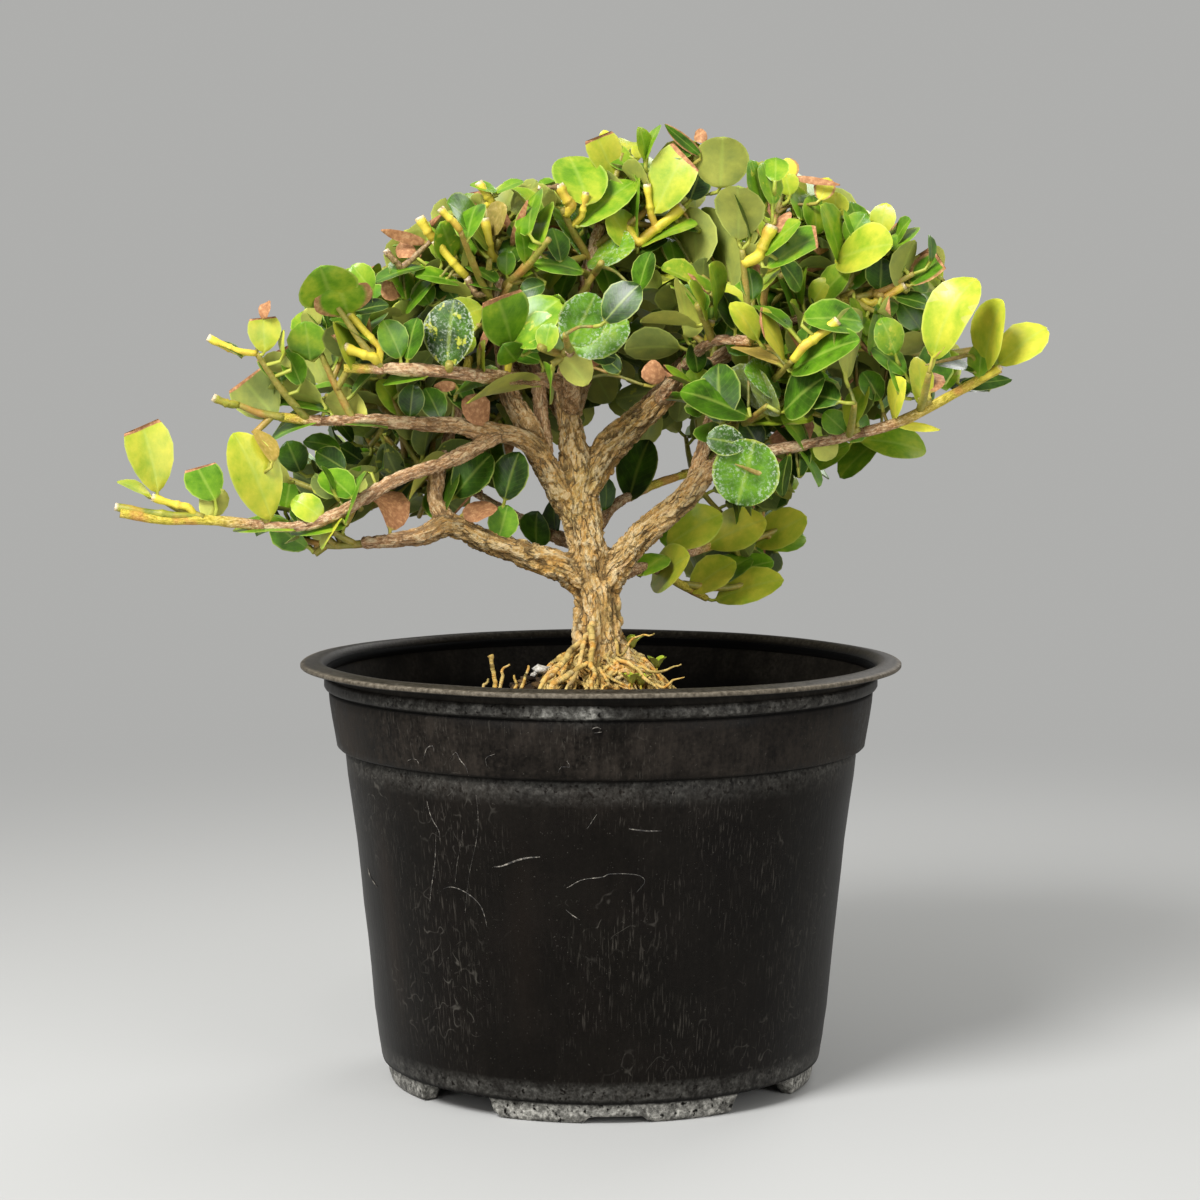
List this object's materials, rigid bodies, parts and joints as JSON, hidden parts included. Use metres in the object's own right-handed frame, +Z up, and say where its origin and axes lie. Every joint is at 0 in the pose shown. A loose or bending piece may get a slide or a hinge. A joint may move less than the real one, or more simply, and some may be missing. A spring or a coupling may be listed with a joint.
{
  "type": "potted bonsai plant",
  "caption": "Small bonsai natal plum with a thick forked trunk, a wide crown of round leaves, surface roots and soil in a round black nursery pot with a rolled rim and notched feet.",
  "frame": {"origin": "On the floor under the pot's feet, at the pot's own axis, which is the middle of the bounding box.", "axes": "+Z up along the pot's axis, +X to the right as seen from the front, +Y towards the back. The front is the side with the bare fork of the trunk, where the two low limbs leave to the left and right."},
  "size_m": [0.2481, 0.165, 0.2613],
  "materials": {
    "pot_plastic": "black nursery pot plastic, slightly glossy, dusty and scuffed",
    "potting_mix": "dark brown, moist peat and bark mix",
    "bark": "furrowed grey-tan bark with ochre plates",
    "foliage": "thick, waxy, slightly glossy leaves"
  },
  "bodies": {
    "root": {"pot": "pot_plastic", "potting_soil": "potting_mix", "tree": "bark", "leaves_far_left_tip": "foliage", "leaves_far_left_tall": "foliage", "leaves_far_left_inner": "foliage", "leaves_far_left_behind": "foliage", "leaves_low_left_end": "foliage", "leaves_low_left_back": "foliage", "leaves_low_left_riser_top": "foliage", "leaves_left_end": "foliage", "leaves_left_end_top": "foliage", "leaves_left_upper": "foliage", "leaves_left_behind": "foliage", "leaves_front_left_clipped": "foliage", "leaves_front_left_middle": "foliage", "leaves_front_left_low": "foliage", "leaves_top_left_outer": "foliage", "leaves_top_left_middle": "foliage", "leaves_top_left_inner": "foliage", "leaves_top_left_right": "foliage", "leaves_top_left_back": "foliage", "leaves_crown_left": "foliage", "leaves_crown_middle": "foliage", "leaves_crown_front": "foliage", "leaves_crown_back": "foliage", "leaves_crown_right": "foliage", "leaves_front_round": "foliage", "leaves_front_bright": "foliage", "leaves_right_front_high": "foliage", "leaves_right_front_side": "foliage", "leaves_right_crest_left": "foliage", "leaves_right_crest": "foliage", "leaves_right_crest_back": "foliage", "leaves_right_shoulder": "foliage", "leaves_right_end": "foliage", "leaves_right_end_top": "foliage", "leaves_right_middle": "foliage", "leaves_right_far": "foliage", "leaves_right_far_back": "foliage", "leaves_right_inner": "foliage", "leaves_low_right_tip": "foliage", "leaves_low_right_outer": "foliage", "leaves_low_right_middle": "foliage", "leaves_low_right_round": "foliage", "leaves_back_low": "foliage", "leaves_back_low_right": "foliage", "leaves_back_low_branch": "foliage", "leaves_back_left_low": "foliage", "leaves_back_left": "foliage", "leaves_back_left_inner": "foliage", "leaves_back_left_high": "foliage", "leaves_back_centre": "foliage", "leaves_back_centre_low": "foliage", "leaves_back_right": "foliage", "leaves_back_right_inner": "foliage", "leaves_back_right_high": "foliage", "leaves_right_back_side": "foliage"}
  },
  "joints": []
}
